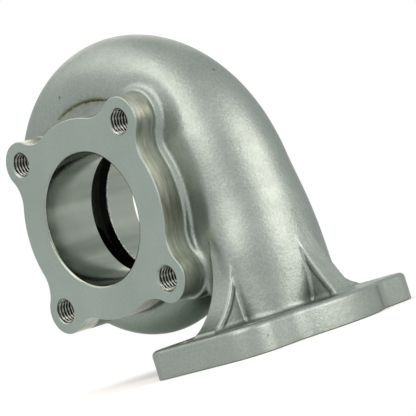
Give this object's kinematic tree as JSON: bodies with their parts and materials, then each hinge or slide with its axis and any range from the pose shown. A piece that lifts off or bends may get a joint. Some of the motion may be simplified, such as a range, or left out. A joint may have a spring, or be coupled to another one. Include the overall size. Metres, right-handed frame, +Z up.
{
  "type": "turbocharger turbine housing",
  "caption": "Cast scroll housing that leads exhaust gas from a bolted inlet flange round a turbine wheel to an axial outlet flange.",
  "frame": {"origin": "centre of the outlet bore on the machined outlet flange face", "axes": "+Y along the turbine axis, from the outlet face in to the bearing side; +Z up, away from the inlet flange, whose face points along -Z; +X completes the right-handed frame, towards the inlet duct"},
  "size_m": [0.1517, 0.0964, 0.1328],
  "materials": {
    "casting": "satin, bead-blasted heat-resistant casting with machined flange faces"
  },
  "bodies": {
    "root": {"turbine_housing": "casting"}
  },
  "joints": []
}
